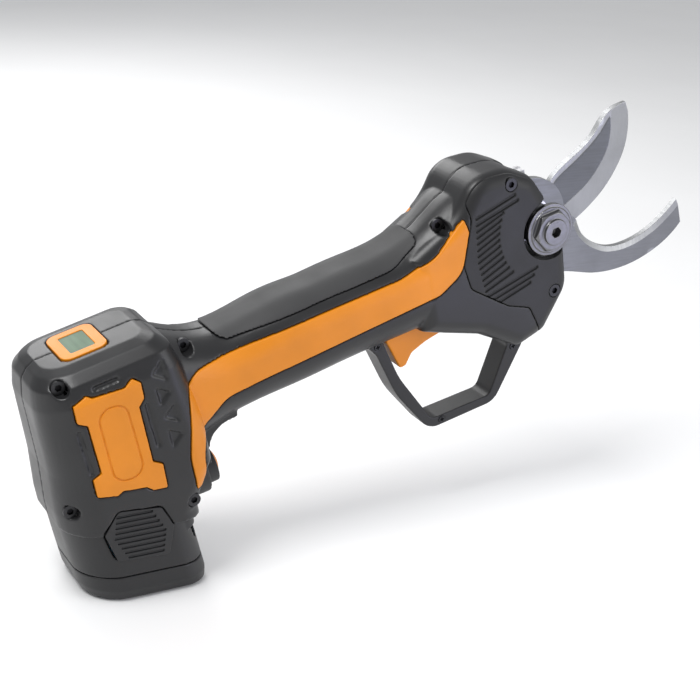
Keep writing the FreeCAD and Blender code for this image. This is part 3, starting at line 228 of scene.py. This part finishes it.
PAINTS = {
    "housing": moulded("housing", (0.013, 0.013, 0.014), 0.36),
    "cover": moulded("cover", (0.010, 0.010, 0.011), 0.48, depth=0.00005),
    "panel": moulded("panel", (0.78, 0.25, 0.0), 0.44, 900.0, 0.00002, 0.10),
    "badge": moulded("badge", (0.78, 0.25, 0.0), 0.46, 900.0, 0.00002, 0.10),
    "grip": moulded("grip", (0.034, 0.034, 0.035), 0.60, 3200.0, 0.00009, 0.25),
    "display": lcd("display", (0.13, 0.20, 0.135)),
    "clip": ground("clip", (0.50, 0.50, 0.51), 0.30),
    "guard": moulded("guard", (0.011, 0.011, 0.012), 0.40),
    # the screws are coloured near-black as painted shade: the dark heads stand in for the shade
    # inside the deep holes they sit in
    "screws": ground("screws", (0.022, 0.022, 0.024), 0.42, (500.0, 500.0, 500.0)),
    "trigger": moulded("trigger", (0.76, 0.24, 0.0), 0.40, 900.0, 0.00002, 0.12),
    "steel": ground("steel", (0.48, 0.48, 0.49), 0.30),
    "blade": ground("blade", (0.36, 0.365, 0.37), 0.40, (1500.0, 1.0, 90.0)),
    "blade_flat": ground("blade_flat", (0.15, 0.155, 0.16), 0.46, (70.0, 1.0, 1500.0)),
    "hook_flat": ground("hook_flat", (0.21, 0.215, 0.22), 0.44, (90.0, 1.0, 1400.0)),
    "nut": ground("nut", (0.20, 0.20, 0.205), 0.34, (700.0, 60.0, 700.0)),
    "bronze": ground("bronze", (0.55, 0.36, 0.16), 0.35),
    "alloy": ground("alloy", (0.52, 0.52, 0.53), 0.45, (400.0, 400.0, 400.0)),
    "motor": ground("motor", (0.36, 0.36, 0.38), 0.32),
    "lamination": ground("lamination", (0.25, 0.25, 0.26), 0.42, (2500.0, 30.0, 30.0)),
    "copper": ground("copper", (0.62, 0.27, 0.12), 0.34, (1800.0, 90.0, 90.0)),
    "board": moulded("board", (0.02, 0.16, 0.06), 0.40, 1500.0, 0.00004, 0.2),
    "chip": moulded("chip", (0.018, 0.018, 0.018), 0.46),
    "battery": moulded("battery", (0.011, 0.011, 0.012), 0.38),
    "latch": moulded("latch", (0.014, 0.014, 0.015), 0.44),
    "cell": moulded("cell", (0.06, 0.22, 0.36), 0.30, 700.0, 0.00002, 0.15, 0.3),
    "nickel": ground("nickel", (0.66, 0.63, 0.57), 0.22),
    "magnet": ground("magnet", (0.62, 0.62, 0.63), 0.18),
}
SLOT_OF = {s["node"]: s["material_slot"] for s in frame["record"]["subparts"]}
BODY_OF = {n: b for b, ns in frame["record"]["behaviour"]["bodies"].items() for n in ns}


# ---------------------------------------------------------------- pieces
def place(name, bm, node, smooth=True):
    """An object of the bmesh, in the row frame, that stands for the node and rides its body."""
    data = bpy.data.meshes.new(name)
    bm.to_mesh(data)
    bm.free()
    obj = bpy.data.objects.new(name, data)
    bpy.context.scene.collection.objects.link(obj)
    data.materials.append(PAINTS[SLOT_OF[node]])
    data.polygons.foreach_set("use_smooth", [smooth] * len(data.polygons))
    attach(obj, BODY_OF[node])
    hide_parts(node)
    return obj


def softened(node, voxel, passes=3, ratio=1.0):
    """The node's shape in a fine even mesh whose edges are rounded off, voxel in mm."""
    bm = bmesh.new()
    bm.from_mesh(frame["nodes"][node].data)
    bmesh.ops.remove_doubles(bm, verts=bm.verts, dist=1e-6)
    obj = place(node + "_moulded", bm, node)
    remesh = obj.modifiers.new("even", "REMESH")
    remesh.mode = "VOXEL"
    remesh.voxel_size = voxel / 1000
    remesh.use_smooth_shade = True
    relax = obj.modifiers.new("round", "SMOOTH")
    relax.factor = 0.5
    relax.iterations = passes
    if ratio < 1.0:
        fewer = obj.modifiers.new("fewer", "DECIMATE")
        fewer.ratio = ratio


def spline(points, steps=14):
    """A smooth curve through the points."""
    pts = np.array([points[0], *points, points[-1]], float)
    out = []
    for i in range(1, len(pts) - 2):
        a, b, c, d = pts[i - 1 : i + 3]
        for k in range(steps):
            t = k / steps
            out.append(0.5 * (2 * b + (c - a) * t + (2 * a - 5 * b + 4 * c - d) * t**2
                              + (3 * b - a - 3 * c + d) * t**3))
    out.append(pts[-2])
    return np.array(out)


def far_from(points, line):
    """Each point's distance from a polyline."""
    best = np.full(len(points), 1e9)
    for a, b in zip(line[:-1], line[1:]):
        run = b - a
        t = np.clip(((points - a) @ run) / max(run @ run, 1e-12), 0, 1)
        best = np.minimum(best, np.linalg.norm(points - a - t[:, None] * run, axis=1))
    return best


def inside(points, edges):
    """Even-odd test of each point against the closed outlines that the edges make."""
    hits = np.zeros(len(points), int)
    for a, b in edges:
        over = (a[1] > points[:, 1]) != (b[1] > points[:, 1])
        cross = a[0] + (points[:, 1] - a[1]) / ((b[1] - a[1]) or 1e-12) * (b[0] - a[0])
        hits += over & (points[:, 0] < cross)
    return hits % 2 == 1


def side_outline(node):
    """The outlines of the node's flat side face, in the handle's XZ plane, in mm."""
    data = frame["nodes"][node].data
    co = np.array([TO_HANDLE @ v.co for v in data.vertices])
    data.calc_loop_triangles()
    top = co[:, 1].max()
    used = {}
    for tri in data.loop_triangles:
        corner = [tuple(np.round(co[i], 3)) for i in tri.vertices]
        if min(c[1] for c in corner) < top - 0.01:
            continue
        for a, b in ((0, 1), (1, 2), (2, 0)):
            ends = frozenset(((corner[a][0], corner[a][2]), (corner[b][0], corner[b][2])))
            used[ends] = used.get(ends, 0) + 1
    outer = [ends for ends, n in used.items() if n == 1 and len(ends) == 2]
    return [tuple(np.array(p) for p in ends) for ends in outer]


def plate(node, low, high, second_paint, creases):
    """A plate inside the node's outline. low and high give the y of its two faces, second_paint
    says which facets take it, and creases are lines that the facets follow."""
    edges = side_outline(node)
    ends = np.array([p for edge in edges for p in edge])
    (x0, z0), (x1, z1) = ends.min(0), ends.max(0)
    grid = np.array([
        (x + (FACET / 2 if r % 2 else 0), z)
        for r, z in enumerate(np.arange(z0, z1, FACET * ROW_HEIGHT))
        for x in np.arange(x0, x1, FACET)
    ])
    keep = inside(grid, edges)
    near = np.full(len(grid), 1e9)
    for a, b in edges:
        near = np.minimum(near, far_from(grid, np.array([a, b])))
    keep &= near > FACET * OUTLINE_GAP
    for line in creases:
        keep &= far_from(grid, line) > FACET * CREASE_GAP
    grid = grid[keep]
    points, index, pairs = [], {}, []
    for a, b in edges:
        pair = []
        for p in (a, b):
            key = (round(p[0], 3), round(p[1], 3))
            if key not in index:
                index[key] = len(points)
                points.append(Vector(key))
            pair.append(index[key])
        pairs.append(tuple(pair))
    for line in creases:
        line = line[inside(line, edges)]
        first = len(points)
        points += [Vector(p) for p in line]
        pairs += [(first + i, first + i + 1) for i in range(len(line) - 1)]
    points += [Vector(p) for p in grid]
    verts, _, faces, *_ = delaunay_2d_cdt(points, pairs, [], 0, 1e-5)
    flat = np.array([tuple(v) for v in verts])
    middles = np.array([flat[list(f)].mean(0) for f in faces])
    within = inside(middles, edges)
    faces = [list(f) for f, ok in zip(faces, within) if ok]
    bm = bmesh.new()
    ylow, yhigh = low(flat), high(flat)
    bottom = [bm.verts.new(TO_ROW @ Vector((p[0], y, p[1]))) for p, y in zip(flat, ylow)]
    top = [bm.verts.new(TO_ROW @ Vector((p[0], y, p[1]))) for p, y in zip(flat, yhigh)]
    mark = second_paint(middles)[within]
    count = {}
    for f, m in zip(faces, mark):
        for ring in ([bottom[i] for i in f], [top[i] for i in reversed(f)]):
            face = bm.faces.new(ring)
            face.material_index = int(m)
        for a, b in zip(f, f[1:] + f[:1]):
            count[(a, b)] = count.get((a, b), 0) + 1
    for a, b in count:
        if (b, a) not in count:
            bm.faces.new([bottom[b], bottom[a], top[a], top[b]])
    bmesh.ops.delete(bm, geom=[v for v in bm.verts if not v.link_faces], context="VERTS")
    bmesh.ops.recalc_face_normals(bm, faces=bm.faces)
    return bm


def beside(line, gap):
    """The line moved sideways by gap, to the left of its run, less what would fold back."""
    run = np.gradient(line, axis=0)
    run /= np.linalg.norm(run, axis=1)[:, None]
    moved = line + gap * np.stack([-run[:, 1], run[:, 0]], axis=1)
    return moved[far_from(moved, line) > abs(gap) * 0.98]


def rise(distance, wide):
    """0 at the line, then evenly up to 1 at wide and beyond."""
    return np.clip(distance / wide, 0, 1)


def cutting_blade():
    """The moving blade, ground on both faces, with a dark sunk field."""
    edge = spline(BLADE_EDGE) + PIVOT
    back = spline(BLADE_BACK) + PIVOT

    def near_face(p):
        past_grind = rise(far_from(p, edge) - GRIND_WIDE, FIELD_SLOPE)
        past_band = rise(far_from(p, back) - FIELD_FROM, FIELD_SLOPE)
        grind = GRIND_NEAR * (1 - rise(far_from(p, edge), GRIND_WIDE))
        return grind + FIELD_DEPTH * past_grind * past_band

    def far_face(p):
        return BLADE_THICK - GRIND_FAR * (1 - rise(far_from(p, edge), GRIND_WIDE))

    def dark(p):
        past_grind = far_from(p, edge) > GRIND_WIDE + BLADE_DARK_GAP
        return past_grind & (far_from(p, back) > BACK_BAND)

    creases = [
        beside(edge, -GRIND_WIDE), beside(edge, -GRIND_WIDE - GRIND_STEP), beside(back, -BACK_BAND),
    ]
    bm = plate("cutting_blade", near_face, far_face, dark, creases)
    obj = place("cutting_blade_ground", bm, "cutting_blade", False)
    obj.data.materials.append(PAINTS["blade_flat"])
    soften_edges(obj, BLADE_ROUND)


def hook_blade():
    """The fixed hook, bevelled along its inner side."""
    inner = spline(HOOK_INNER) + PIVOT

    def near_face(p):
        return HOOK_NEAR + HOOK_BEVEL * (1 - rise(far_from(p, inner), HOOK_GRIND))

    def far_face(p):
        return np.full(len(p), HOOK_FAR)

    def dark(p):
        return far_from(p, inner) > HOOK_GRIND + HOOK_DARK_GAP

    bm = plate("hook_blade", near_face, far_face, dark, [beside(inner, -HOOK_GRIND)])
    obj = place("hook_blade_ground", bm, "hook_blade", False)
    obj.data.materials.append(PAINTS["hook_flat"])
    soften_edges(obj, HOOK_ROUND)


def soften_edges(obj, wide):
    """Small rounds along the sharp edges, wide in mm."""
    bevel = obj.modifiers.new("edge", "BEVEL")
    bevel.limit_method = "ANGLE"
    bevel.angle_limit = math.radians(50)
    bevel.width = wide / 1000
    bevel.segments = 2
    bevel.harden_normals = False


cutting_blade()
hook_blade()

# node, voxel in mm, smoothing passes, part of the facets kept
SOFT = [
    ("housing_right", 0.50, 3, 0.55), ("housing_left", 0.50, 3, 0.55),
    ("head_cover_right", 0.26, 2, 0.8), ("head_cover_left", 0.26, 2, 0.8),
    ("side_panel_right", 0.30, 2, 0.8), ("side_panel_left", 0.30, 2, 0.8),
    ("badge_plate_right", 0.22, 2, 0.8), ("badge_plate_left", 0.22, 2, 0.8),
    ("grip_insert", 0.40, 2, 0.8), ("display_bezel", 0.16, 2, 0.8),
    ("power_collar", 0.18, 2, 1.0), ("power_button", 0.18, 2, 1.0),
    ("belt_clip", 0.20, 2, 1.0), ("trigger_guard", 0.28, 2, 1.0),
    ("trigger", 0.25, 3, 1.0), ("battery_case", 0.45, 2, 0.6),
    ("battery_base", 0.36, 3, 0.9), ("pivot_nut", 0.18, 2, 1.0),
    ("latch_button_right", 0.18, 1, 1.0), ("latch_button_left", 0.18, 1, 1.0),
]
for node, voxel, passes, ratio in SOFT:
    softened(node, voxel, passes, ratio)

for name, obj in frame["nodes"].items():
    obj.data.materials.clear()
    obj.data.materials.append(PAINTS[SLOT_OF[name]])
    obj.data.polygons.foreach_set("use_smooth", [True] * len(obj.data.polygons))
    obj.data.set_sharp_from_angle(angle=math.radians(32))


# ---------------------------------------------------------------- floor, light, camera
def plain_floor():
    """A pale matt floor with a faint unevenness."""
    p = Paint("floor_paint")
    tone = p.spread(p.noise(9.0, 3.0), 0.0, 1.0)
    p.colour(p.mix(tone, (0.90, 0.90, 0.90), (0.92, 0.92, 0.92)))
    p.rough(p.spread(p.noise(30.0, 3.0), 0.75, 0.85))
    p.shader.inputs["Specular IOR Level"].default_value = 0.2
    return p.mat


def floor():
    data = bpy.data.meshes.new("floor")
    corners = [(-1, -1), (1, -1), (1, 1), (-1, 1)]
    spots = [(x * FLOOR_HALF, y * FLOOR_HALF, 0) for x, y in corners]
    data.from_pydata(spots, [], [(0, 1, 2, 3)])
    obj = bpy.data.objects.new("floor", data)
    bpy.context.scene.collection.objects.link(obj)
    data.materials.append(plain_floor())


def lamp(name, spot, power, wide, colour=(1, 1, 1)):
    """A square lamp, wide in metres, that points at the part."""
    data = bpy.data.lights.new(name, "AREA")
    data.energy = power
    data.size = wide
    data.color = colour
    obj = bpy.data.objects.new(name, data)
    bpy.context.scene.collection.objects.link(obj)
    obj.location = spot
    aim = Vector(LAMP_AIM) - Vector(spot)
    obj.rotation_euler = aim.to_track_quat("-Z", "Y").to_euler()


def sky():
    world = bpy.data.worlds.new("studio")
    bpy.context.scene.world = world
    world.use_nodes = True
    back = world.node_tree.nodes["Background"]
    back.inputs["Color"].default_value = (0.93, 0.94, 0.96, 1)
    back.inputs["Strength"].default_value = 0.55


def camera():
    data = bpy.data.cameras.new("camera")
    data.lens = CAMERA_LENS
    data.sensor_width = CAMERA_SENSOR
    obj = bpy.data.objects.new("camera", data)
    bpy.context.scene.collection.objects.link(obj)
    turn = TO_ROW.to_3x3().normalized()
    ahead = (turn @ CAMERA_AHEAD).normalized()
    right = turn @ CAMERA_RIGHT
    right = (right - right.dot(ahead) * ahead).normalized()
    up = right.cross(ahead)
    obj.matrix_world = Matrix((
        (right.x, up.x, -ahead.x, 0),
        (right.y, up.y, -ahead.y, 0),
        (right.z, up.z, -ahead.z, 0),
        (0, 0, 0, 1),
    ))
    obj.location = TO_ROW @ CAMERA_AIM - ahead * CAMERA_DISTANCE
    data.clip_start = 0.01
    bpy.context.scene.camera = obj


floor()
sky()
lamp("key", (-0.30, -0.10, 0.75), power=4.2, wide=0.32)
lamp("side", (0.65, -0.60, 0.40), power=2.0, wide=0.5)
lamp("back", (0.1, 0.7, 0.55), power=3.0, wide=0.5)
lamp("low", (0.3, -0.30, 0.02), power=0.25, wide=0.2, colour=(0.62, 0.62, 1.0))
camera()
bpy.context.scene.view_settings.view_transform = "Standard"
